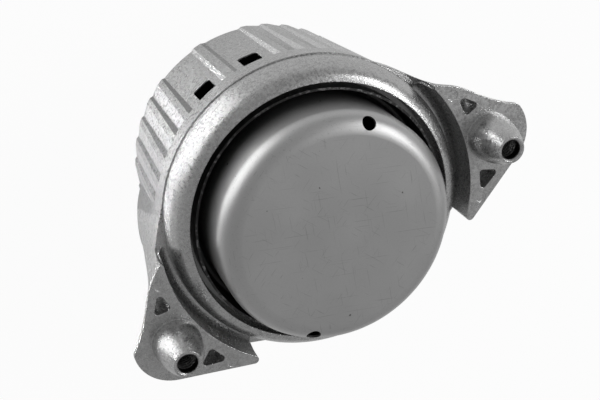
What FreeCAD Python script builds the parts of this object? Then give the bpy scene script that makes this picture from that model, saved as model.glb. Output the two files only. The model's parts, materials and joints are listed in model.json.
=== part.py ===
import FreeCAD, Part
import math
import os

# Hydraulic engine mount, in millimetres. +Z is the mount's axis and points to the steel cup, the ears lie
# along X, and the origin is the centre of the core's lower face, where the engine bracket is bolted on.

Vector = FreeCAD.Vector
UP = Vector(0, 0, 1)
SIDEWAYS = Vector(1, 0, 0)

# Housing: heights
housing_base_z = 4.0             # lower edge of the casting, the core stands out below it
ear_face_z = 69.5                # flat faces of the two ears
parting_drop = 11.6              # ear face down to the parting line and the floor of the ear grooves
rib_end_drop = 19.3              # ear face down to the upper ends of the ribs

# Housing: bore, barrel and rim
bore_radius = 45.0
wall = 6.45                      # from the bore to the rib crests at the parting line
wall_draft_deg = 3.4             # the barrel narrows towards the core
parting_step = 0.4               # the rim's foot stands back from the wall at the parting line
rim_rise = 0.95                  # bore edge above the ear face
rim_shoulder_drop = 9.0          # ear face down to the widest part of the rim's curve
bore_chamfer = 0.5
bore_chamfer_width = 0.25
ledge_width = 2.0                # ledge in the bore that the rubber spring's ring sits on
cavity_draft_deg = 1.0
end_wall = 5.0                   # thickness of the casting's lower end
end_flange_width = 12.5          # carries the rubber stop and leaves the opening that the core moves in

# Housing: ribs of the two barrel halves, angles from the middle of a half
rib_middle_deg = 91.5            # the halves lie a little turned from the ears' mirror plane
flute_depth = 1.1                # at the upper end
flute_depth_low = 0.6            # at the casting's lower end
rib_pitch_deg = 9.5
first_rib_deg = 22.2             # first rib beside the wide panel
ribs_a_side = 5
last_flute_deg = 9.0             # width of the flute between the last rib and the bracket
rib_half_deg = 1.4
flank_deg = 2.1                  # steep side of a flute, at the upper end
middle_rib_half_deg = 1.8
flute_floor_deg = 0.4            # width of a flute's lowest line

# Housing: the two windows in the wide panels
window_width = 6.9
window_length = 10.8
window_gap_to_ribs = 1.6         # upper edge of a window below the upper rib ends
window_middle_deg = 10.3
window_corner = 1.2

# Ears, with the places of what is on them measured from the centre of the ear's hole
hole_beyond_wall = 11.65         # hole's centre beyond the barrel's wall, along X
ear_hole_y = -10.6
ear_radius = 14.6                # round end of the ear about its hole
ear_round_start_deg = 12.0
groove_width = 3.95              # groove between rim and ear, at the ear face
ear_wall_draft = 0.7             # the ear's curved wall leans by this towards the groove
ear_wall_fillet = 2.5
ear_edge = 1.6                   # thickness of the ear's thin outer edge
apex_edge_deg = 53.6             # direction that the ear's edge faces near its pointed end
apex_edge_distance = 16.5        # that edge's line from the hole's centre
apex_round = 0.9                 # radius of the pointed end, on the window side
tip_round = 1.5                  # radius of the ear's other end
groove_end_deg = 17.4            # where the floor of the +X groove meets the bank
bank_rise = 0.8                  # the +X groove ends at a low bank, this far above its floor at the rim
bank_slope_deg = 22.0
boss_base_radius = 8.3
boss_tip_radius = 4.65
boss_height = 15.1
ear_thread_radius = 3.4          # M8 tapping size
ear_thread_length = 26.0
ear_thread_chamfer = 0.5
drill_half_deg = 59.0            # half of the angle of a drill's point
pocket_depth = 8.0
pocket_corner = 1.3
pocket_draft = 0.5
ejector_mark_radius = 1.9
ejector_mark_depth = 0.2
window_side_pocket = [(-3.7, 17.8), (0.4, 12.9), (-4.3, 11.8)]
far_side_pocket = [(-7.9, -10.1), (-3.0, -13.6), (-9.8, -16.3)]
ejector_marks = [(-5.9, 21.0), (-11.7, -19.2)]

# Outlines of ear and bracket, one row a level: drop below the ear face, corners of the window side, centre
# of the round column under the hole, the column's radius and the angle where its arc starts
bracket_levels = [
    (ear_edge, [(-24.4, 38.4), (-9.6, 27.5), (-3.5, 23.0), (4.2, 13.6), (8.3, 9.1), (12.0, 5.8)],
     (0.0, 0.0), ear_radius, ear_round_start_deg),
    (parting_drop, [(-22.6, 41.9), (-15.1, 32.9), (-9.1, 25.0), (-5.5, 19.8), (-1.5, 13.2)],
     (-4.9, -1.8), 12.8, 16.0),
    (25.0, [(-22.6, 39.1), (-15.8, 32.0), (-10.7, 25.2), (-7.1, 18.8)], (-10.1, -0.4), 12.0, 16.0),
    (45.0, [(-22.1, 34.0), (-16.5, 28.6), (-11.3, 23.0), (-8.1, 17.2)], (-14.9, -0.4), 11.6, 15.0),
    (ear_face_z - housing_base_z, [(-22.1, 29.2), (-17.1, 24.0), (-12.4, 18.2), (-9.1, 12.4)],
     (-17.5, 1.1), 12.0, 15.0),
]
outline_close_radius = 15.0      # these outlines close here, inside the bore

# Steel cover: a cup, a trough around it and an outer collar, held by a ring pressed in round the collar
sheet = 0.8
press_gap = 0.05                 # radial gap left in the model at press fits in the bore
collar_gap = 1.7                 # between the bore and the collar
retaining_ring_height = 5.0
retaining_ring_gap = 0.05        # between the ring and the collar
trough_width = 3.0               # between the collar and the cup
trough_depth = 11.4              # below the collar's upper edge
trough_bend = 1.2
collar_below_rim = 0.55          # upper edge of the collar below the bore edge
cup_rise = 17.4                  # flat face of the cup above the ear face
cup_corner = 6.4
vent_radius = 2.4
vent_lift_deg = 54.0             # direction of a vent's axis, up from level, square to the round corner
vent_deg = 48.5

# Pack under the cover, clamped on the ledge face on face
ring_height = 15.0               # steel ring of the rubber spring
ring_wall = 1.6
ring_cover = 0.9                 # rubber skin outside the ring
lower_plate_thick = 3.4
upper_plate_thick = 2.0
bead_thick = 3.3                 # clamped edge of the diaphragm
channel_from_edge = 8.45         # middle of the fluid channel inwards from the plate's edge
channel_width = 4.6
channel_depth = 2.2
channel_span_deg = 320.0
port_radius = 2.2
port_from_end_deg = 6.4
decoupler_radius = 17.5
decoupler_thick = 2.2
decoupler_gap = 0.3
decoupler_recess_lower = 1.7
plate_holes = 6
plate_hole_radius = 2.6
plate_hole_circle = 10.5
membrane = 1.8                   # wall of the rolling diaphragm
membrane_to_cover = 0.5
roll_radius = 3.6                # middle radius of the diaphragm's rolled fold
roll_rise = 8.0
membrane_rest = 3.4              # middle of the diaphragm above the upper plate
bead_ring_cover = 1.55           # rubber outside the ring in the bead
bead_ring_width = 3.2
bead_ring_thick = 1.2

# Rubber spring, core and stop
core_radius = 19.0
core_neck_z = 14.0               # the core's taper starts here
core_top_radius = 12.5
core_top_z = 36.0
core_round = 3.0
core_thread_radius = 5.1         # M12 tapping size
core_thread_length = 26.0
core_thread_chamfer = 1.0
spring_skin = 2.0                # rubber over the core's top
spring_lip = 2.2                 # rubber inside the ring, and the height of its lip
spring_arch = 1.6                # how far the rubber's lower face arches up in its middle
spring_dish = 1.6                # middle of the rubber's upper face above its inner edge
insert_from_core = 8.0           # lower edge of the stiffening ring, outwards from the core
insert_cover = 1.2               # rubber below that edge
insert_flare = 4.0               # the ring's upper edge is this much wider
insert_height = 11.2
insert_wall = 1.5
stop_height = 3.5                # rubber stop ring on the end wall
stop_inner_gap = 1.0
stop_outer_gap = 1.5

cut_margin = 2.0                 # tools run this far past what they cut

wall_radius = bore_radius + wall
parting_z = ear_face_z - parting_drop
rib_end_z = ear_face_z - rib_end_drop
rim_top_z = ear_face_z + rim_rise
rim_foot_radius = wall_radius - parting_step
ear_hole_x = wall_radius + hole_beyond_wall
ear_wall_radius = rim_foot_radius + groove_width
pack_radius = bore_radius - press_gap
collar_radius = bore_radius - collar_gap
collar_top_z = rim_top_z - collar_below_rim
trough_floor_z = collar_top_z - trough_depth
cup_radius = collar_radius - sheet - trough_width
cup_top_z = ear_face_z + cup_rise
bead_top_z = trough_floor_z - sheet
bead_z = bead_top_z - bead_thick
upper_plate_z = bead_z - upper_plate_thick
lower_plate_z = upper_plate_z - lower_plate_thick
ledge_z = lower_plate_z - ring_height
channel_radius = pack_radius - channel_from_edge
spring_inner = pack_radius - ring_cover - ring_wall - spring_lip
cavity_radius = bore_radius - ledge_width
cavity_floor_z = housing_base_z + end_wall
cavity_floor_radius = cavity_radius - (ledge_z - cavity_floor_z) * math.tan(math.radians(cavity_draft_deg))
end_opening_radius = cavity_floor_radius - end_flange_width


def polar(radius, degrees, z=0.0):
    angle = math.radians(degrees)
    return Vector(radius * math.cos(angle), radius * math.sin(angle), z)


def line(start, end):
    return Part.LineSegment(start, end).toShape()


def arc(start, middle, end):
    return Part.Arc(start, middle, end).toShape()


def face_of(edges):
    return Part.Face(Part.Wire(Part.sortEdges(edges)[0]))


def bend(centre, radius, from_deg, to_deg):
    """Arc in a section: its middle and its end, as (radius, z) pairs."""
    points = [polar(radius, degrees) for degrees in ((from_deg + to_deg) / 2, to_deg)]
    return tuple((centre[0] + point.x, centre[1] + point.y) for point in points)


def section(steps):
    """Face in the radial plane. A step is a corner (radius, z), or the middle and the end of an arc."""
    edges = []
    here = Vector(steps[0][0], 0, steps[0][1])
    for step in steps[1:] + steps[:1]:
        if isinstance(step[0], tuple):
            middle, end = [Vector(radius, 0, z) for radius, z in step]
            edges.append(arc(here, middle, end))
        else:
            end = Vector(step[0], 0, step[1])
            edges.append(line(here, end))
        here = end
    return Part.Face(Part.Wire(edges))


def turned(steps):
    """Full turn of a section about the axis."""
    return section(steps).revolve(Vector(0, 0, 0), UP, 360)


def disc(radius, z_low, z_high, centre=Vector(0, 0, 0)):
    return Part.makeCylinder(radius, z_high - z_low, Vector(centre.x, centre.y, z_low))


def tube(inner, outer, z_low, z_high):
    return disc(outer, z_low, z_high).cut(disc(inner, z_low - cut_margin, z_high + cut_margin))


def less(body, tools):
    for tool in tools:
        body = body.cut(tool)
    return body


def fused(shapes):
    return shapes[0].multiFuse(shapes[1:]).removeSplitter()


def mirrored(shape):
    return shape.mirror(Vector(0, 0, 0), SIDEWAYS)


def prism(points, z_low, z_high):
    corners = [Vector(point.x, point.y, z_low) for point in points]
    face = Part.Face(Part.makePolygon(corners + corners[:1]))
    return face.extrude(UP * (z_high - z_low))


def tapped_hole(radius, length, chamfer):
    """Blind hole that opens upwards at height 0, with its lead-in and drill point."""
    point = radius / math.tan(math.radians(drill_half_deg))
    return turned([
        (0, -length - point), (radius, -length), (radius, -chamfer),
        (radius + chamfer, 0), (radius + chamfer, cut_margin), (0, cut_margin)])


def wall_at(z):
    """Radius of the rib crests at a height."""
    return wall_radius - (parting_z - z) * math.tan(math.radians(wall_draft_deg))


def ear_point(offset, z=0.0):
    return Vector(ear_hole_x + offset[0], ear_hole_y + offset[1], z)


def barrel():
    base_radius = wall_at(housing_base_z)
    return turned([
        (0, housing_base_z), (base_radius, housing_base_z), (wall_radius, parting_z), (0, parting_z)])


def rim():
    """Rounded rim: a quarter of an ellipse from the bore's edge to its widest part, then a short wall."""
    shoulder_z = ear_face_z - rim_shoulder_drop
    top = Vector(bore_radius, 0, rim_top_z)
    side = Vector(rim_foot_radius, 0, shoulder_z)
    ellipse = Part.Ellipse(top, side, Vector(bore_radius, 0, shoulder_z))
    crown = Part.ArcOfEllipse(ellipse, 0.0, math.pi / 2).toShape()
    foot = Vector(rim_foot_radius, 0, parting_z)
    corners = [side, foot, Vector(0, 0, parting_z), Vector(0, 0, rim_top_z), top]
    edges = [line(first, second) for first, second in zip(corners, corners[1:])]
    return face_of([crown] + edges).revolve(Vector(0, 0, 0), UP, 360)


def tangent_deg(barrel_radius, centre, radius):
    """Direction faced by the straight edge that touches barrel and column, on the side of the ear's tip."""
    distance = math.hypot(centre.x, centre.y)
    turn = math.acos((barrel_radius - radius) / distance)
    return math.degrees(math.atan2(centre.y, centre.x) - turn)


def bracket_outline(drop, window_side, column_place, column_radius, column_start_deg):
    """Outline of ear or bracket at one level; it closes inside the barrel."""
    z = ear_face_z - drop
    column = ear_point(column_place, z)
    points = [ear_point(offset, z) for offset in window_side]
    tangent = tangent_deg(wall_at(z), column, column_radius)
    arc_start = column + polar(column_radius, column_start_deg)
    arc_middle = column + polar(column_radius, (column_start_deg + tangent) / 2)
    arc_end = column + polar(column_radius, tangent)
    on_wall = polar(wall_at(z), tangent, z)
    inside = Vector(outline_close_radius, 0, z)
    first_way = points[1] - points[0]
    last_way = polar(first_way.Length, column_start_deg - 90)
    curve = Part.BSplineCurve()
    curve.interpolate(Points=points + [arc_start], InitialTangent=first_way, FinalTangent=last_way)
    edges = [curve.toShape(), arc(arc_start, arc_middle, arc_end)]
    edges += [line(arc_end, on_wall), line(on_wall, inside), line(inside, points[0])]
    return Part.Wire(edges)


def groove_tool():
    """The groove between rim and ear: flat floor, a fillet and the ear's curved, drafted wall."""
    high = ear_face_z + cut_margin
    fillet_radius = ear_wall_radius - ear_wall_draft - ear_wall_fillet
    fillet_centre = (fillet_radius, parting_z + ear_wall_fillet)
    return turned([
        (0, parting_z), (fillet_radius, parting_z), bend(fillet_centre, ear_wall_fillet, -90, 0),
        (ear_wall_radius, ear_face_z), (ear_wall_radius, high), (0, high)])


def bank():
    """Low sloping bank beyond the end of the +X groove."""
    reach = 2 * ear_wall_radius
    slope = math.tan(math.radians(bank_slope_deg))
    axis_z = parting_z + bank_rise + rim_foot_radius * slope
    below = turned([(0, 0), (reach, 0), (reach, axis_z - reach * slope), (0, axis_z)])
    return below.common(prism([polar(0, 0), polar(reach, groove_end_deg), polar(reach, 90)], 0, axis_z))


def ear_end_tool(edge_deg, edge_distance, radius, side):
    """Block that cuts off an ear's end beyond a small round between its straight edge and its curved wall. The
    side is 1 or -1, for an end that points to larger or smaller angles."""
    normal = polar(1.0, edge_deg)
    along = polar(side, edge_deg - 90)
    depth = edge_distance - radius
    from_axis = ear_wall_radius + radius
    centre = normal * depth + along * math.sqrt(from_axis ** 2 - depth ** 2)
    on_edge = centre + normal * radius
    on_wall = centre * (ear_wall_radius / centre.Length)
    across = math.copysign(90, side)
    beyond = [on_wall, polar(ear_wall_radius / 2, edge_deg), polar(ear_wall_radius / 2, edge_deg + across),
              polar(2 * ear_wall_radius, edge_deg + across), on_edge + normal * ear_wall_radius, on_edge]
    edges = [arc(on_edge, centre - along * radius, on_wall)]
    edges += [line(first, second) for first, second in zip(beyond, beyond[1:])]
    block = face_of(edges).extrude(UP * (parting_drop + cut_margin))
    block.translate(UP * parting_z)
    return block


def apex_tool():
    hole_along_normal = ear_point((0, 0)).dot(polar(1.0, apex_edge_deg))
    return ear_end_tool(apex_edge_deg, hole_along_normal + apex_edge_distance, apex_round, 1)


def tip_tool():
    edge_distance = wall_at(ear_face_z - ear_edge)
    tangent = tangent_deg(edge_distance, ear_point((0, 0)), ear_radius)
    return ear_end_tool(tangent, edge_distance, tip_round, -1)


def ear_and_bracket(with_bank):
    """Ear and bracket of the +X side: a lofted arm with the ear's thin edge on top, less the groove."""
    outlines = [bracket_outline(*level) for level in bracket_levels]
    arm = Part.makeLoft(outlines, True, False)
    edge = Part.Face(outlines[0]).extrude(UP * ear_edge)
    tool = fused([groove_tool(), apex_tool(), tip_tool()])
    if with_bank:
        tool = tool.cut(bank())
    return fused([arm, edge]).cut(tool)


def boss():
    """Ogive dome over the tapped hole; its side rises straight from the ear and curves in to the tip."""
    narrowing = boss_base_radius - boss_tip_radius
    curve_radius = (narrowing ** 2 + boss_height ** 2) / (2 * narrowing)
    curve_deg = math.degrees(math.asin(boss_height / curve_radius))
    dome = turned([
        (0, -ear_edge), (boss_base_radius, -ear_edge), (boss_base_radius, 0),
        bend((boss_base_radius - curve_radius, 0), curve_radius, 0, curve_deg), (0, boss_height)])
    dome.translate(ear_point((0, 0), ear_face_z))
    return dome


def ear_thread():
    hole = tapped_hole(ear_thread_radius, ear_thread_length, ear_thread_chamfer)
    hole.translate(ear_point((0, 0), ear_face_z + boss_height))
    return hole


def pocket(corners):
    """Rounded triangle sunk in the ear face, a little smaller at its floor."""
    points = [ear_point(corner) for corner in corners]
    middle = (points[0] + points[1] + points[2]) / 3
    centres = []
    for point in points:
        inwards = middle - point
        centres.append(point + inwards * (pocket_corner / inwards.Length))

    def outline(rise):
        corner = pocket_corner + pocket_draft * rise / pocket_depth
        lifted = [centre + UP * (ear_face_z + rise) for centre in centres]
        return Part.makePolygon(lifted + lifted[:1]).makeOffset2D(corner)

    return Part.makeLoft([outline(-pocket_depth), outline(cut_margin)], True, True)


def ejector_mark(offset):
    floor_z = ear_face_z - ejector_mark_depth
    return disc(ejector_mark_radius, floor_z, ear_face_z + cut_margin, ear_point(offset))


def ear_cuts():
    cuts = [ear_thread(), pocket(window_side_pocket), pocket(far_side_pocket)]
    return cuts + [ejector_mark(offset) for offset in ejector_marks]


def flute(middle_deg, low_span, high_span):
    """Shallow trough in the wall between two rib crests, from the casting's lower end up to the rib ends."""
    def outline(z, depth, span):
        crest_start, foot_start, foot_end, crest_end = [middle_deg + degrees for degrees in span]
        crest = wall_at(z)
        floor = crest - depth
        feet = [polar(floor, foot_start, z), polar(floor, foot_end, z)]
        crests = [polar(crest, crest_start, z), polar(crest, crest_end, z)]
        outer = [crest_point * 2 - foot for crest_point, foot in zip(crests, feet)]
        floor_middle = polar(floor, (foot_start + foot_end) / 2, z)
        outer_middle = polar(crest + 2 * depth, (crest_start + crest_end) / 2, z)
        return Part.Wire([
            line(outer[0], feet[0]), arc(feet[0], floor_middle, feet[1]),
            line(feet[1], outer[1]), arc(outer[1], outer_middle, outer[0])])

    low = outline(housing_base_z, flute_depth_low, low_span)
    high = outline(rib_end_z, flute_depth, high_span)
    return Part.makeLoft([low, high], True, True)


def flute_spans(side, steep_deg):
    """Angles of a quarter's flutes, with steep sides of this width: the wide panel by the middle rib, then
    the narrow flutes. Each is the crest where it starts, both ends of its floor and the crest where it
    ends."""
    panel_end = first_rib_deg - rib_half_deg
    spans = [(middle_rib_half_deg, 2 * middle_rib_half_deg, panel_end - steep_deg, panel_end)]
    for number in range(ribs_a_side):
        start = first_rib_deg + number * rib_pitch_deg + rib_half_deg
        end = start + rib_pitch_deg - 2 * rib_half_deg
        if number == ribs_a_side - 1:
            end = start - rib_half_deg + last_flute_deg + flank_deg
        spans.append((start, end - steep_deg - flute_floor_deg, end - steep_deg, end))
    return [[side * degrees for degrees in span] for span in spans]


def fluted_barrel():
    """Barrel with its ribs; the flutes' steep sides have the same slope all along."""
    low_flank_deg = flank_deg * flute_depth_low / flute_depth
    body = barrel()
    for middle_deg in (rib_middle_deg, rib_middle_deg + 180):
        flutes = []
        for side in (-1, 1):
            spans = zip(flute_spans(side, low_flank_deg), flute_spans(side, flank_deg))
            flutes += [flute(middle_deg, low_span, high_span) for low_span, high_span in spans]
        body = body.cut(Part.makeCompound(flutes))
    return body


def window(side):
    """Rounded window through the wall, cut along the way the barrel half leaves the mould."""
    top = rib_end_z - window_gap_to_ribs
    middle = side * wall_at(top) * math.sin(math.radians(window_middle_deg))
    reach = window_width / 2 - window_corner
    corners = [Vector(middle - reach, 0, top - window_corner), Vector(middle + reach, 0, top - window_corner),
               Vector(middle + reach, 0, top - window_length + window_corner),
               Vector(middle - reach, 0, top - window_length + window_corner)]
    outline = Part.makePolygon(corners + corners[:1]).makeOffset2D(window_corner)
    block = Part.Face(outline).extrude(Vector(0, wall_radius, 0))
    block.translate(Vector(0, bore_radius / 2, 0))
    block.rotate(Vector(0, 0, 0), UP, rib_middle_deg - 90)
    return block


def bore_tool():
    """Everything inside the casting: bore, ledge, drafted cavity and the opening for the core."""
    low = housing_base_z - cut_margin
    high = rim_top_z + cut_margin
    mouth = bore_radius + bore_chamfer_width
    return turned([
        (0, low), (end_opening_radius, low), (end_opening_radius, cavity_floor_z),
        (cavity_floor_radius, cavity_floor_z), (cavity_radius, ledge_z), (bore_radius, ledge_z),
        (bore_radius, rim_top_z - bore_chamfer), (mouth, rim_top_z), (mouth, high), (0, high)])


def housing():
    bosses = [boss(), mirrored(boss())]
    arms = [ear_and_bracket(True), mirrored(ear_and_bracket(False))]
    body = fused([fluted_barrel(), rim()] + arms + bosses)
    cuts = [bore_tool(), window(-1), window(1)]
    for cut in ear_cuts():
        cuts += [cut, mirrored(cut)]
    return less(body, cuts).removeSplitter()


def under_cover_face(offset):
    """Section under the sheet's upper face, for offset 0, or under its lower face, for its thickness."""
    collar = collar_radius - sheet + offset
    outer_bend = collar_radius - sheet - trough_bend
    inner_bend = cup_radius + trough_bend
    bend_z = trough_floor_z + trough_bend
    flat = cup_radius - cup_corner
    corner_z = cup_top_z - cup_corner
    low = trough_floor_z - offset
    return [
        (collar, bend_z), bend((outer_bend, bend_z), trough_bend + offset, 0, -90),
        (inner_bend, low), bend((inner_bend, bend_z), trough_bend + offset, -90, -180),
        (cup_radius - offset, corner_z), bend((flat, corner_z), cup_corner - offset, 0, 90),
        (0, cup_top_z - offset), (0, bead_z), (collar_radius, bead_z)]


def cover():
    """Deep-drawn sheet: collar, trough, cup wall, rounded corner and flat face, with two vent holes."""
    collar_top = [(collar_radius, collar_top_z), (collar_radius - sheet, collar_top_z)]
    body = turned(collar_top + under_cover_face(0.0)).cut(turned(under_cover_face(sheet)))
    lift = math.radians(vent_lift_deg)
    vents = []
    for degrees in (vent_deg, vent_deg + 180):
        outwards = polar(math.cos(lift), degrees, math.sin(lift))
        corner_centre = polar(cup_radius - cup_corner, degrees, cup_top_z - cup_corner)
        start = corner_centre + outwards * (cup_corner - sheet - cut_margin)
        vents.append(Part.makeCylinder(vent_radius, sheet + 2 * cut_margin, start, outwards))
    return less(body, vents)


def retaining_ring():
    inner = collar_radius + retaining_ring_gap
    return tube(inner, pack_radius, bead_top_z, bead_top_z + retaining_ring_height)


def core_blank():
    """Core without its thread: a plain lower end, a taper for the rubber and a bevelled top."""
    return turned([
        (0, 0), (core_radius, 0), (core_radius, core_neck_z), (core_top_radius, core_top_z - core_round),
        (core_top_radius - core_round, core_top_z), (0, core_top_z)])


def core():
    hole = tapped_hole(core_thread_radius, core_thread_length, core_thread_chamfer)
    return core_blank().cut(hole.mirror(Vector(0, 0, 0), UP))


def spring_ring():
    outer = pack_radius - ring_cover
    return tube(outer - ring_wall, outer, ledge_z + ring_cover, lower_plate_z)


def spring_insert():
    """Conical steel ring that keeps the thick rubber from bulging, a little above the rubber's lower face."""
    radius = core_radius + insert_from_core
    slope = (ledge_z - core_neck_z) / (spring_inner - core_radius)
    z = core_neck_z + insert_from_core * slope + spring_arch + insert_cover
    return turned([
        (radius, z), (radius + insert_wall, z), (radius + insert_flare + insert_wall, z + insert_height),
        (radius + insert_flare, z + insert_height)])


def main_spring():
    """Rubber cone between core and ring; the steel pieces are bonded in, so their room is cut out of it."""
    low_middle = ((core_radius + spring_inner) / 2, (core_neck_z + ledge_z) / 2 + spring_arch)
    skin_z = core_top_z + spring_skin
    high_middle = ((core_top_radius + spring_inner) / 2, skin_z + spring_dish)
    rubber = turned([
        (0, core_neck_z), (core_radius, core_neck_z), (low_middle, (spring_inner, ledge_z)),
        (pack_radius, ledge_z), (pack_radius, lower_plate_z), (spring_inner, lower_plate_z),
        (spring_inner, lower_plate_z - spring_lip), (high_middle, (core_top_radius, skin_z)), (0, skin_z)])
    return less(rubber, [core_blank(), spring_ring(), spring_insert()])


def rebound_stop():
    outer = cavity_floor_radius - stop_outer_gap
    return tube(end_opening_radius + stop_inner_gap, outer, cavity_floor_z, cavity_floor_z + stop_height)


def plate_cuts(port_deg, low, high):
    """The holes over the decoupler and one port into the fluid channel."""
    cuts = [disc(port_radius, low, high, polar(channel_radius, port_deg))]
    for number in range(plate_holes):
        place = polar(plate_hole_circle, number * 360 / plate_holes)
        cuts.append(disc(plate_hole_radius, low, high, place))
    return cuts


def lower_track_plate():
    """Plate with the curved fluid channel in its upper face and the lower half of the decoupler's room."""
    inner = channel_radius - channel_width / 2
    outer = channel_radius + channel_width / 2
    floor = upper_plate_z - channel_depth
    high = upper_plate_z + cut_margin
    channel = section([(inner, floor), (outer, floor), (outer, high), (inner, high)])
    room = disc(decoupler_radius + decoupler_gap, upper_plate_z - decoupler_recess_lower, high)
    cuts = [channel.revolve(Vector(0, 0, 0), UP, channel_span_deg), room]
    cuts += plate_cuts(port_from_end_deg, lower_plate_z - cut_margin, upper_plate_z)
    return less(disc(pack_radius, lower_plate_z, upper_plate_z), cuts)


def upper_track_plate():
    """Lid over the channel, with its other port and the upper half of the decoupler's room."""
    low = upper_plate_z - cut_margin
    room_top = upper_plate_z - decoupler_recess_lower + decoupler_thick + 2 * decoupler_gap
    room = disc(decoupler_radius + decoupler_gap, low, room_top)
    cuts = [room] + plate_cuts(channel_span_deg - port_from_end_deg, low, bead_z + cut_margin)
    return less(disc(pack_radius, upper_plate_z, bead_z), cuts)


def decoupler():
    """Rubber disc that lies loose in the room between the plates."""
    low = upper_plate_z - decoupler_recess_lower
    return disc(decoupler_radius, low, low + decoupler_thick)


def diaphragm_ring():
    outer = pack_radius - bead_ring_cover
    low = (bead_z + bead_top_z - bead_ring_thick) / 2
    return tube(outer - bead_ring_width, outer, low, low + bead_ring_thick)


def diaphragm():
    """Rolling rubber membrane: clamped bead, short wall, rolled fold and a flat middle."""
    wall_outer = cup_radius - sheet - membrane_to_cover
    wall_inner = wall_outer - membrane
    outer_fold = roll_radius + membrane / 2
    inner_fold = roll_radius - membrane / 2
    fold = (wall_outer - outer_fold, bead_top_z + roll_rise)
    middle_z = bead_z + membrane_rest
    body = turned([
        (0, middle_z), (fold[0] - inner_fold, middle_z), (fold[0] - inner_fold, fold[1]),
        bend(fold, inner_fold, 180, 0), (wall_inner, bead_z), (pack_radius, bead_z),
        (pack_radius, bead_top_z), (wall_outer, bead_top_z), (wall_outer, fold[1]),
        bend(fold, outer_fold, 0, 180), (fold[0] - outer_fold, middle_z + membrane),
        (0, middle_z + membrane)])
    return body.cut(diaphragm_ring())


def write_parts():
    makers = [housing, cover, retaining_ring, core, main_spring, spring_ring, spring_insert, rebound_stop,
              lower_track_plate, upper_track_plate, decoupler, diaphragm, diaphragm_ring]
    os.makedirs("parts", exist_ok=True)
    for make in makers:
        shape = make()
        shape.exportStep(os.path.join("parts", make.__name__ + ".step"))
        volume = "%.1f cm3" % (shape.Volume / 1000)
        print(make.__name__, len(shape.Solids), "solid, valid", shape.isValid(), volume)


write_parts()
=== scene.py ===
# %% [markdown]
# # A hydraulic engine mount
# The mount is a die-cast aluminium can with two ears. A drawn steel cup closes it on the upper side, and
# a rubber spring and an aluminium core close it below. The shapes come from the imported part, which stays as
# it is. This lesson gives each surface its finish, adds what is too fine for the solids, and lights it.

import json
import math

import bpy
from mathutils import Matrix, Quaternion, Vector


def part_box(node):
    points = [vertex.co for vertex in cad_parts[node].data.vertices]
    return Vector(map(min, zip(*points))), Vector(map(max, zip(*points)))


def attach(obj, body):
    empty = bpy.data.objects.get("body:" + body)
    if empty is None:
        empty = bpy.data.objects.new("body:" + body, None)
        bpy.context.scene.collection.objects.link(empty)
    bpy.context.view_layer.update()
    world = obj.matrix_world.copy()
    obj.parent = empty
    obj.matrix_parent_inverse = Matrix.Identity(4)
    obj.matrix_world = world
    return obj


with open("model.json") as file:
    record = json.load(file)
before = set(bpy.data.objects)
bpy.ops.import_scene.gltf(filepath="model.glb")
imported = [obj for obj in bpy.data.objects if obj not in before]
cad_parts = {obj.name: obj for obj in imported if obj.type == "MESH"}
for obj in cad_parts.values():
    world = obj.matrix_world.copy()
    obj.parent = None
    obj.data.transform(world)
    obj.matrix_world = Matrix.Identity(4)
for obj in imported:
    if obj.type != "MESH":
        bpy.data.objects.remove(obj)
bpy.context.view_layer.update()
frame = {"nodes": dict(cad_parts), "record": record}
nodes = frame["nodes"]
print("pieces of the part:", ", ".join(sorted(nodes)))

# %% [markdown]
# ## Sizes to hang the details on
# A detail sits where the part says. The mounts in its record tell where the holes and the faces are, and the
# cover's box tells the collar's radius. The last four sizes are steps from those, as the part was designed.

# %% Measure the part
MM = 0.001
mounts = {mount["name"]: mount for mount in frame["record"]["mounts"]}
ear_threads = mounts["ear_threads"]
ear_hole_y = ear_threads["pos_m"][1]
ear_hole_x = ear_threads["dims"]["spacing_x_mm"] * MM / 2
ear_hole_radius = ear_threads["dims"]["hole_r_mm"] * MM
dome_top = ear_threads["pos_m"][2]
ear_face = mounts["ear_face_right"]["pos_m"][2]
core_face = mounts["core_face"]["pos_m"][2]
collar_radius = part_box("cover")[1].x
cup_radius = collar_radius - 3.8 * MM
collar_top = ear_face + 0.4 * MM
parting_height = ear_face - 11.6 * MM
wall_radius = collar_radius + 8.0 * MM
print("dome top", dome_top, "ear face", ear_face, "parting line", round(parting_height, 4))
print("collar, cup and wall radius:", [round(v, 4) for v in (collar_radius, cup_radius, wall_radius)])

# %% [markdown]
# ## The camera
# The photo looks down on the mount from beside the windows, and the camera is rolled a long way, so that
# the line of the ears runs across the picture. A place, a point to look at and a roll say that plainly.

# %% Place the camera
camera_place = Vector((-0.0403, 0.1862, 0.3790))
camera_aim = Vector((-0.0049, 0.0123, 0.0755))
camera_roll = math.radians(136.9)
camera_lens = 66

camera_data = bpy.data.cameras.new("camera")
camera_data.lens = camera_lens
camera_data.sensor_width = 36
camera_data.clip_start = 10 * MM
camera = bpy.data.objects.new("camera", camera_data)
bpy.context.scene.collection.objects.link(camera)
facing = (camera_aim - camera_place).to_track_quat("-Z", "Y")
camera.rotation_mode = "QUATERNION"
camera.rotation_quaternion = facing @ Quaternion((0, 0, 1), camera_roll)
camera.location = camera_place
bpy.context.scene.camera = camera
print("camera to mount in mm:", round((camera_aim - camera_place).length * 1000))

# %% [markdown]
# ## Writing a finish as nodes
# A finish is a small graph of nodes, and a few helpers keep the graphs short. The first ones add a node and
# wire its inputs, whether an input is a plain value or comes from another node.

# %% Add nodes
def add(tree, kind, inputs=None, **settings):
    node = tree.nodes.new(kind)
    for key, value in settings.items():
        setattr(node, key, value)
    for key, value in (inputs or {}).items():
        if isinstance(value, bpy.types.NodeSocket):
            tree.links.new(value, node.inputs[key])
        else:
            node.inputs[key].default_value = value
    return node


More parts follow.
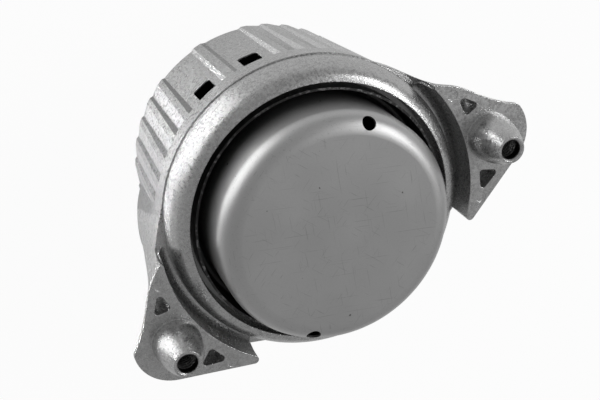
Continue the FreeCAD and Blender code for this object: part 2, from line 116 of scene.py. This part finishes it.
def start_finish(name):
    material = bpy.data.materials.new(name)
    material.use_nodes = True
    tree = material.node_tree
    place = add(tree, "ShaderNodeTexCoord").outputs["Object"]
    return material, tree, tree.nodes["Principled BSDF"], place


def maths(tree, operation, a, b=0.0, clamp=False):
    return add(tree, "ShaderNodeMath", {0: a, 1: b}, operation=operation, use_clamp=clamp).outputs[0]


def product(tree, first, *others):
    for other in others:
        first = maths(tree, "MULTIPLY", first, other)
    return first


def parts_of(tree, vector):
    return add(tree, "ShaderNodeSeparateXYZ", {0: vector}).outputs


def distance(tree, x, y):
    squares = maths(tree, "ADD", maths(tree, "POWER", x, 2.0), maths(tree, "POWER", y, 2.0))
    return maths(tree, "SQRT", squares)


print("nodes can be added")

# %% [markdown]
# The next ones make patterns. Grain is a noise of a given size, and a mask turns it, or a place, into a share
# from 0 to 1 with soft edges. That share then blends one grey over another.

# %% Make patterns
def grain(tree, place, size, detail=3.0, rough=0.5, warp=0.0):
    return add(tree, "ShaderNodeTexNoise", {
        "Vector": place, "Scale": 1 / size, "Detail": detail, "Roughness": rough,
        "Distortion": warp}).outputs["Fac"]


def mask(tree, value, low, high, out_low=0.0, out_high=1.0):
    return add(tree, "ShaderNodeMapRange", {
        "Value": value, "From Min": low, "From Max": high, "To Min": out_low,
        "To Max": out_high}, interpolation_type="SMOOTHSTEP").outputs["Result"]


def above(tree, value, level, soft):
    return mask(tree, value, level - soft, level + soft)


def below(tree, value, level, soft):
    return mask(tree, value, level + soft, level - soft)


def grey(value):
    return (value, value, value, 1.0)


def blend(tree, share, a, b):
    node = add(tree, "ShaderNodeMix", {"Factor": share}, data_type="RGBA")
    for socket, value in ((node.inputs[6], a), (node.inputs[7], b)):
        if isinstance(value, bpy.types.NodeSocket):
            tree.links.new(value, socket)
        else:
            socket.default_value = value
    return node.outputs[2]


print("patterns are ready")

# %% [markdown]
# The last ones shape the surface: a bump from a pattern, and a bevel, which rounds sharp edges in the light
# and, where it bends the surface most, tells where an edge is worn and where a highlight is painted along it.

# %% Shape the surface
def bumped(tree, height, depth, normal=None):
    inputs = {"Height": height, "Distance": depth, "Strength": 1.0}
    if normal is not None:
        inputs["Normal"] = normal
    return add(tree, "ShaderNodeBump", inputs).outputs["Normal"]


def wear_and_highlight_edge(tree, radius):
    soft = add(tree, "ShaderNodeBevel", {"Radius": radius}, samples=6).outputs["Normal"]
    true = add(tree, "ShaderNodeNewGeometry").outputs["Normal"]
    same = add(tree, "ShaderNodeVectorMath", {0: soft, 1: true}, operation="DOT_PRODUCT").outputs["Value"]
    return soft, maths(tree, "SUBTRACT", 1.0, same, clamp=True)


print("surfaces can be shaped")

# %% [markdown]
# ## Where light and shade are painted on the casting
# Four masks go by place and paint light or shade into the colour. The ribs' steep sides are painted dark as
# shade and their gentle sides bright as a highlight; the drilled holes, the windows and the low bank at the
# end of the right groove are painted dark as shade. How far a face leans round the axis tells a steep side
# from a gentle one.

# %% Find the places on the casting
def rib_lean(tree, place):
    at = parts_of(tree, place)
    faces = parts_of(tree, add(tree, "ShaderNodeNewGeometry").outputs["True Normal"])
    radius = distance(tree, at["X"], at["Y"])
    turn = maths(tree, "SUBTRACT", product(tree, at["X"], faces["Y"]), product(tree, at["Y"], faces["X"]))
    on_wall = product(
        tree,
        above(tree, radius, wall_radius - 4.75 * MM, 0.25 * MM),
        below(tree, radius, wall_radius + 0.55 * MM, 0.25 * MM),
        below(tree, at["Z"], parting_height - 1.25 * MM, 0.25 * MM))
    return maths(tree, "DIVIDE", turn, radius), on_wall


def ear_bore_shade(tree, place):
    at = parts_of(tree, place)
    across = maths(tree, "SUBTRACT", maths(tree, "ABSOLUTE", at["X"]), ear_hole_x)
    along = maths(tree, "SUBTRACT", at["Y"], ear_hole_y)
    return product(
        tree,
        below(tree, distance(tree, across, along), ear_hole_radius + 0.1 * MM, 0.05 * MM),
        below(tree, at["Z"], dome_top - 0.9 * MM, 0.6 * MM),
        above(tree, at["Z"], dome_top - 26.5 * MM, 0.5 * MM))


def window_shade(tree, place):
    at = parts_of(tree, place)
    radius = distance(tree, at["X"], at["Y"])
    return product(
        tree,
        below(tree, radius, wall_radius - 2.5 * MM, 0.2 * MM),
        above(tree, radius, wall_radius - 7.25 * MM, 0.25 * MM),
        below(tree, at["Z"], parting_height - 0.5 * MM, 0.5 * MM),
        above(tree, at["Z"], parting_height - 21.5 * MM, 0.5 * MM))


def groove_bank_shade(tree, place):
    at = parts_of(tree, place)
    upward = parts_of(tree, add(tree, "ShaderNodeNewGeometry").outputs["True Normal"])["Z"]
    return product(
        tree,
        above(tree, at["Z"], parting_height - 0.3 * MM, 0.2 * MM),
        below(tree, at["Z"], parting_height + 3.5 * MM, 0.5 * MM),
        above(tree, at["X"], 22 * MM, 2 * MM),
        above(tree, at["Y"], 15 * MM, 1 * MM),
        above(tree, upward, 0.4, 0.1))


print("places found: rib sides, ear bores, windows, bank")

# %% [markdown]
# ## Cast aluminium
# A die casting comes out of its mould with a thin smooth skin and is then blasted, so it is a mottled
# grey with curly bright flecks and small dark pits, and a highlight on it breaks up at its edge. Four
# noises of different size give that. A bevel node finds the edges, which are painted bright: partly wear,
# partly a painted highlight.

# %% Make the cast finish
def make_cast_finish():
    material, tree, surface, place = start_finish("cast_aluminium")
    soft_normal, edge_wear_and_highlight = wear_and_highlight_edge(tree, 0.35 * MM)
    cloud = grain(tree, place, 9 * MM, 4, 0.6)
    mottle = grain(tree, place, 1.0 * MM, 5, 0.65)
    speck = grain(tree, place, 0.36 * MM, 2, 0.6)
    swirl = grain(tree, place, 0.9 * MM, 2, 0.5, 1.5)
    curl = maths(tree, "ABSOLUTE", maths(tree, "SUBTRACT", swirl, 0.5))
    base = blend(tree, mask(tree, mottle, 0.38, 0.62), grey(0.40), grey(0.54))
    base = blend(tree, mask(tree, cloud, 0.42, 0.65, 0.0, 0.4), base, grey(0.58))
    base = blend(tree, mask(tree, speck, 0.46, 0.36, 0.0, 0.18), base, grey(0.2))
    base = blend(tree, mask(tree, speck, 0.56, 0.65, 0.0, 0.4), base, grey(0.85))
    base = blend(tree, mask(tree, curl, 0.02, 0.0, 0.0, 0.45), base, grey(0.95))
    # Edges painted bright: partly wear, partly a painted highlight.
    base = blend(tree, mask(tree, edge_wear_and_highlight, 0.02, 0.2, 0.0, 0.45), base, grey(0.85))
    lean, on_wall = rib_lean(tree, place)
    # Painted shade on the ribs' steep sides and a painted highlight on their gentle sides.
    steep_side_shade = product(tree, below(tree, lean, -0.25, 0.1), on_wall)
    gentle_side_highlight = product(tree, above(tree, lean, 0.1, 0.04), on_wall)
    base = blend(tree, product(tree, steep_side_shade, 0.6), base, grey(0.14))
    base = blend(tree, product(tree, gentle_side_highlight, 0.6), base, grey(0.82))
    # Painted shade inside the ear holes.
    base = blend(tree, ear_bore_shade(tree, place), base, grey(0.02))
    # Painted shade inside the windows.
    base = blend(tree, window_shade(tree, place), base, grey(0.012))
    # Painted shade on the right groove's low bank, against a glint of the strip lamp.
    base = blend(tree, product(tree, groove_bank_shade(tree, place), 0.75), base, grey(0.1))
    tree.links.new(base, surface.inputs["Base Color"])
    tree.links.new(mask(tree, mottle, 0.38, 0.62, 0.25, 0.36), surface.inputs["Roughness"])
    surface.inputs["Metallic"].default_value = 0.9
    waves = bumped(tree, mottle, 0.02 * MM, soft_normal)
    tree.links.new(bumped(tree, speck, 0.02 * MM, waves), surface.inputs["Normal"])
    return material


cast_finish = make_cast_finish()
print("made", cast_finish.name)

# %% [markdown]
# ## Drawn steel
# The cup is pressed from sheet, so it is smoother than the casting: a satin skin with hair scratches that
# run every way and a few dark specks. Low on its wall, down in the trough, shade is painted dark into the
# colour, and the collar is painted near black, partly its own dark skin and partly painted shade. Only the
# collar's sheared upper edge is bare metal, bright in some places and not in others.

# %% Make the cup's finish
def scratches(tree, place, turn_deg, across, along, rare):
    turned = add(tree, "ShaderNodeMapping", {"Vector": place, "Rotation": (0, 0, math.radians(turn_deg))})
    drawn_out = add(tree, "ShaderNodeVectorMath", {0: turned.outputs[0], 1: (1, across / along, 1)},
                    operation="MULTIPLY").outputs[0]
    return mask(tree, grain(tree, drawn_out, across, 0, 0.5), rare, rare + 0.05)


def make_cup_finish():
    material, tree, surface, place = start_finish("cover_steel")
    at = parts_of(tree, place)
    radius = distance(tree, at["X"], at["Y"])
    cloud = grain(tree, place, 20 * MM, 2, 0.5)
    skin = grain(tree, place, 0.5 * MM, 3, 0.6)
    speck = grain(tree, place, 1.6 * MM, 1, 0.3)
    base = blend(tree, mask(tree, cloud, 0.3, 0.7), grey(0.53), grey(0.56))
    base = blend(tree, mask(tree, skin, 0.3, 0.7, 0.0, 0.3), base, grey(0.48))
    for turn_deg, along, rare in ((17, 9, 0.76), (64, 6, 0.77), (118, 12, 0.76), (152, 7, 0.77)):
        hair = scratches(tree, place, turn_deg, 0.28 * MM, along * MM, rare)
        base = blend(tree, product(tree, hair, 0.35), base, grey(0.25))
    base = blend(tree, mask(tree, speck, 0.80, 0.84, 0.0, 0.85), base, grey(0.04))
    # Painted shade: the cup's wall is darker low down, towards the trough.
    low_wall_shade = below(tree, at["Z"], ear_face - 5.5 * MM, 3.5 * MM)
    base = blend(tree, product(tree, low_wall_shade, 0.6), base, grey(0.05))
    # The collar is painted near black: partly its own dark skin, partly painted shade in the trough.
    collar_skin_and_shade = above(tree, radius, cup_radius + 0.55 * MM, 0.25 * MM)
    base = blend(tree, collar_skin_and_shade, base, grey(0.05))
    sheared = above(tree, at["Z"], collar_top - 0.085 * MM, 0.035 * MM)
    patchy = mask(tree, grain(tree, place, 1.5 * MM, 4, 0.7), 0.5, 0.65)
    base = blend(tree, product(tree, sheared, collar_skin_and_shade, patchy), base, grey(0.25))
    tree.links.new(base, surface.inputs["Base Color"])
    tree.links.new(mask(tree, cloud, 0.3, 0.7, 0.40, 0.44), surface.inputs["Roughness"])
    surface.inputs["Metallic"].default_value = 1.0
    tree.links.new(bumped(tree, skin, 0.008 * MM), surface.inputs["Normal"])
    return material


cup_finish = make_cup_finish()
print("made", cup_finish.name)

# %% [markdown]
# ## Turned metal, plain steel and rubber
# These lie inside or below, and still get a finish of their own: rings of a cutting tool on the turned
# pieces, a dull plain steel for the rings, and a matt black rubber with a fine skin.

# %% Make the other finishes
def make_turned_finish():
    material, tree, surface, place = start_finish("machined_aluminium")
    ring_scale = 286.6
    rings = add(tree, "ShaderNodeTexWave", {
        "Vector": place, "Scale": ring_scale, "Distortion": 0.4, "Detail": 2.0},
        wave_type="RINGS", rings_direction="Z").outputs["Fac"]
    cloud = grain(tree, place, 5 * MM, 4, 0.6)
    base = blend(tree, mask(tree, cloud, 0.3, 0.7), grey(0.52), grey(0.66))
    tree.links.new(base, surface.inputs["Base Color"])
    tree.links.new(mask(tree, cloud, 0.3, 0.7, 0.28, 0.4), surface.inputs["Roughness"])
    surface.inputs["Metallic"].default_value = 1.0
    tree.links.new(bumped(tree, rings, 0.01 * MM), surface.inputs["Normal"])
    return material


def make_plain_steel_finish():
    material, tree, surface, place = start_finish("inner_steel")
    cloud = grain(tree, place, 4 * MM, 4, 0.6)
    base = blend(tree, mask(tree, cloud, 0.3, 0.7), grey(0.34), grey(0.48))
    tree.links.new(base, surface.inputs["Base Color"])
    tree.links.new(mask(tree, cloud, 0.3, 0.7, 0.35, 0.5), surface.inputs["Roughness"])
    surface.inputs["Metallic"].default_value = 1.0
    return material


def make_rubber_finish():
    material, tree, surface, place = start_finish("rubber")
    skin = grain(tree, place, 0.6 * MM, 3, 0.6)
    dust = grain(tree, place, 9 * MM, 4, 0.6)
    base = blend(tree, mask(tree, dust, 0.4, 0.8), grey(0.003), grey(0.009))
    tree.links.new(base, surface.inputs["Base Color"])
    tree.links.new(mask(tree, dust, 0.3, 0.7, 0.6, 0.8), surface.inputs["Roughness"])
    surface.inputs["Specular IOR Level"].default_value = 0.1
    tree.links.new(bumped(tree, skin, 0.03 * MM), surface.inputs["Normal"])
    return material


turned_finish = make_turned_finish()
plain_steel_finish = make_plain_steel_finish()
rubber_finish = make_rubber_finish()
print("made", turned_finish.name, plain_steel_finish.name, rubber_finish.name)

# %% [markdown]
# ## Dress the pieces
# The record says which finish each piece has, and the pieces keep their shapes: only the material in
# their slot changes.

# %% Put the finishes on
finishes = {
    "cast_aluminium": cast_finish, "machined_aluminium": turned_finish, "cover_steel": cup_finish,
    "inner_steel": plain_steel_finish, "rubber": rubber_finish}
for subpart in frame["record"]["subparts"]:
    piece = nodes[subpart["node"]]
    piece.data.materials.clear()
    piece.data.materials.append(finishes[subpart["material_slot"]])
    print(subpart["node"], "is", subpart["material_slot"])

# %% [markdown]
# ## Threads
# The part's tapped holes are plain bores. A thread is a low ridge that winds down such a bore, so each hole
# gets one: a triangle is carried round a helix, and the rings of points are joined into a strip.

# %% Cut the threads
def add_piece(name, points, faces, finish_name):
    mesh = bpy.data.meshes.new(name)
    mesh.from_pydata(points, [], faces)
    mesh.validate()
    mesh.materials.append(finishes[finish_name])
    piece = bpy.data.objects.new(name, mesh)
    bpy.context.scene.collection.objects.link(piece)
    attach(piece, "root")
    return piece


def around(radius, angle, height):
    return Vector((radius * math.cos(angle), radius * math.sin(angle), height))


def add_thread(name, mouth, into, bore, pitch, depth, finish_name):
    steps = 36
    rings = round(thread_length / pitch * steps)
    points = []
    for step in range(rings + 1):
        angle = 2 * math.pi * step / steps
        fade = min(1.0, step / steps, (rings - step) / steps)
        for radius, shift in ((bore, -0.4), (bore - depth * fade, 0.0), (bore, 0.4)):
            drop = pitch * (step / steps + shift)
            points.append(mouth + around(radius, angle, into * drop))
    faces = []
    for step in range(rings):
        low = 3 * step
        faces += [(low, low + 3, low + 4, low + 1), (low + 1, low + 4, low + 5, low + 2)]
    return add_piece(name, points, faces, finish_name)


thread_start = 3.0 * MM
thread_length = 20 * MM
for side, name in ((-1, "thread_left_ear"), (1, "thread_right_ear")):
    mouth = Vector((side * ear_hole_x, ear_hole_y, dome_top - thread_start))
    add_thread(name, mouth, -1, ear_hole_radius, 1.25 * MM, 0.25 * MM, "inner_steel")
core_bore = mounts["core_thread"]["dims"]["r_mm"] * MM
mouth = Vector((0, 0, core_face + thread_start))
add_thread("thread_core", mouth, 1, core_bore, 1.75 * MM, 0.35 * MM, "machined_aluminium")
print("threads cut in both ears and in the core")

# %% [markdown]
# ## Burrs on the collar
# Where the collar was sheared, a few bright burrs stand on its edge, in a row on the side of the right ear.
# A burr is a low pyramid on the middle of the collar's edge, and its length differs from its neighbours'.

# %% Leave the burrs
burr_angles = [25.9, 29.5, 35.7, 40.1, 46.5, 54.7, 62.5]
burr_circle = collar_radius - 0.4 * MM
burr_half_width = 0.35 * MM
burr_rise = 0.3 * MM
burr_points = []
burr_faces = []
for number, degrees in enumerate(burr_angles):
    half_length = (0.9 + 0.4 * math.sin(5 * number)) * MM / 2
    middle = around(burr_circle, math.radians(degrees), collar_top)
    out = around(1.0, math.radians(degrees), 0)
    along = Vector((-out.y, out.x, 0))
    base = len(burr_points)
    burr_points += [
        middle - along * half_length, middle - out * burr_half_width, middle + along * half_length,
        middle + out * burr_half_width, middle + Vector((0, 0, burr_rise))]
    for corner in range(4):
        burr_faces.append((base + corner, base + (corner + 1) % 4, base + 4))
add_piece("collar_burrs", burr_points, burr_faces, "inner_steel")
print(len(burr_angles), "burrs on the collar")

# %% [markdown]
# ## Flash at the parting line
# The two halves of the mould meet where the rim stands on the wall. A little metal creeps between them and
# leaves a thin bright thread round the wall, which stops short of the ears.

# %% Run the flash round the wall
def add_flash(name, first_deg, last_deg):
    steps = 2 * (last_deg - first_deg)
    fade_steps = 12
    points = []
    for step in range(steps + 1):
        angle = math.radians(first_deg + (last_deg - first_deg) * step / steps)
        fade = min(1.0, step / fade_steps, (steps - step) / fade_steps)
        size = flash_thickness * fade * (0.8 + 0.2 * math.sin(1.7 * step))
        for corner in range(6):
            turn = math.radians(60 * corner)
            radius = wall_radius - flash_inset + size * math.cos(turn)
            points.append(around(radius, angle, parting_height + size * math.sin(turn)))
    faces = []
    for step in range(steps):
        for corner in range(6):
            low, beside = 6 * step + corner, 6 * step + (corner + 1) % 6
            faces.append((low, low + 6, beside + 6, beside))
    flash = add_piece(name, points, faces, "inner_steel")
    for face in flash.data.polygons:
        face.use_smooth = True


flash_thickness = 0.28 * MM
flash_inset = 0.17 * MM
add_flash("flash_window_side", 28, 152)
add_flash("flash_back", 238, 302)
print("flash laid on both sides")

# %% [markdown]
# ## The floor
# A pale floor fills the picture. The camera sees it nearly white, metal mirrors it as a dim grey, and it
# keeps a little of the mount's shadow. It is a table of milky plastic: light that comes from below passes
# it, so it casts no shadow itself.

# %% Lay the floor
def make_floor(white_to_camera, white_in_metal):
    material, tree, surface, place = start_finish("floor_white")
    surface.inputs["Base Color"].default_value = grey(0.85)
    surface.inputs["Roughness"].default_value = 0.9
    seen = add(tree, "ShaderNodeLightPath").outputs
    mirrored = maths(tree, "MAXIMUM", seen["Is Glossy Ray"], seen["Is Transmission Ray"])
    in_metal = product(tree, mirrored, white_in_metal)
    to_camera = product(tree, seen["Is Camera Ray"], white_to_camera)
    share = maths(tree, "MAXIMUM", to_camera, in_metal)
    white = add(tree, "ShaderNodeEmission", {"Color": grey(1.0), "Strength": 1.0}).outputs[0]
    mixed = add(tree, "ShaderNodeMixShader", {0: share, 1: surface.outputs[0], 2: white}).outputs[0]
    tree.links.new(mixed, tree.nodes["Material Output"].inputs["Surface"])
    half = 1.5
    level = core_face - floor_gap
    mesh = bpy.data.meshes.new("floor")
    corners = [(-half, -half, level), (half, -half, level), (half, half, level), (-half, half, level)]
    mesh.from_pydata(corners, [], [(0, 1, 2, 3)])
    mesh.materials.append(material)
    floor = bpy.data.objects.new("floor", mesh)
    floor.visible_shadow = False
    bpy.context.scene.collection.objects.link(floor)
    return floor


floor_gap = 0.2 * MM
floor = make_floor(0.95, 0.25)
print("floor at z =", round(floor.data.vertices[0].co.z * 1000, 1), "mm")

# %% [markdown]
# ## The lamps
# A large softbox stands on the left, mostly below the edge of the table, and shines across the ribs and on
# the left of the cup. A smaller one below it fills the ribs' gentle sides. A narrow upright strip on the
# right puts the bright patch on the rim. A lamp's brightness is set for each square metre, so its power
# follows from its size. Each lamp's long side runs along a direction of the picture.

# %% Hang the lamps
def add_lamp(name, towards, along, width, length, brightness):
    back = Vector(towards).normalized()
    upright = (along - back * back.dot(along)).normalized()
    sideways = upright.cross(back)
    lamp_data = bpy.data.lights.new(name, "AREA")
    lamp_data.shape = "RECTANGLE"
    lamp_data.size = width
    lamp_data.size_y = length
    lamp_data.energy = math.pi * width * length * brightness
    lamp_data.cycles.use_multiple_importance_sampling = False
    lamp = bpy.data.objects.new(name, lamp_data)
    lamp.visible_camera = False
    bpy.context.scene.collection.objects.link(lamp)
    turn = Matrix((sideways, upright, back)).transposed().to_4x4()
    place = back * lamp_distance + Vector((0, 0, ear_face))
    lamp.matrix_world = Matrix.Translation(place) @ turn
    print(name, "of", round(lamp_data.energy, 1), "W at", [round(v, 2) for v in place])


lamp_distance = 0.8
out_of_picture = Vector((-0.10, 0.49, 0.86))
up_in_picture = Vector((0.54, 0.75, -0.37))
add_lamp("key_lamp", (-0.49, 0.77, -0.41), out_of_picture, 0.75, 1.1, 1.55)
add_lamp("rib_lamp", (-0.57, 0.13, -0.81), out_of_picture, 0.5, 0.4, 1.2)
add_lamp("strip_lamp", (0.76, -0.04, 0.65), up_in_picture, 0.3, 0.66, 3.3)

# %% [markdown]
# ## The room
# Metal shows what stands round it. The room is a dim grey that is darkest where the camera stands. The
# camera itself sees it as plain white, like the photo's background.

# %% Paint the room
world = bpy.data.worlds.new("room")
bpy.context.scene.world = world
world.use_nodes = True
room_tree = world.node_tree
room_way = add(room_tree, "ShaderNodeTexCoord").outputs["Generated"]
toward_camera = add(room_tree, "ShaderNodeVectorMath", {0: room_way, 1: out_of_picture},
                    operation="DOT_PRODUCT").outputs["Value"]
room_level = mask(room_tree, toward_camera, 0.2, 1.0, 0.36, 0.32)
seen_directly = add(room_tree, "ShaderNodeLightPath").outputs["Is Camera Ray"]
backdrop = room_tree.nodes["Background"]
room_tree.links.new(blend(room_tree, seen_directly, room_level, grey(1.0)), backdrop.inputs["Color"])
bpy.context.scene.view_settings.view_transform = "Standard"
print("room painted")
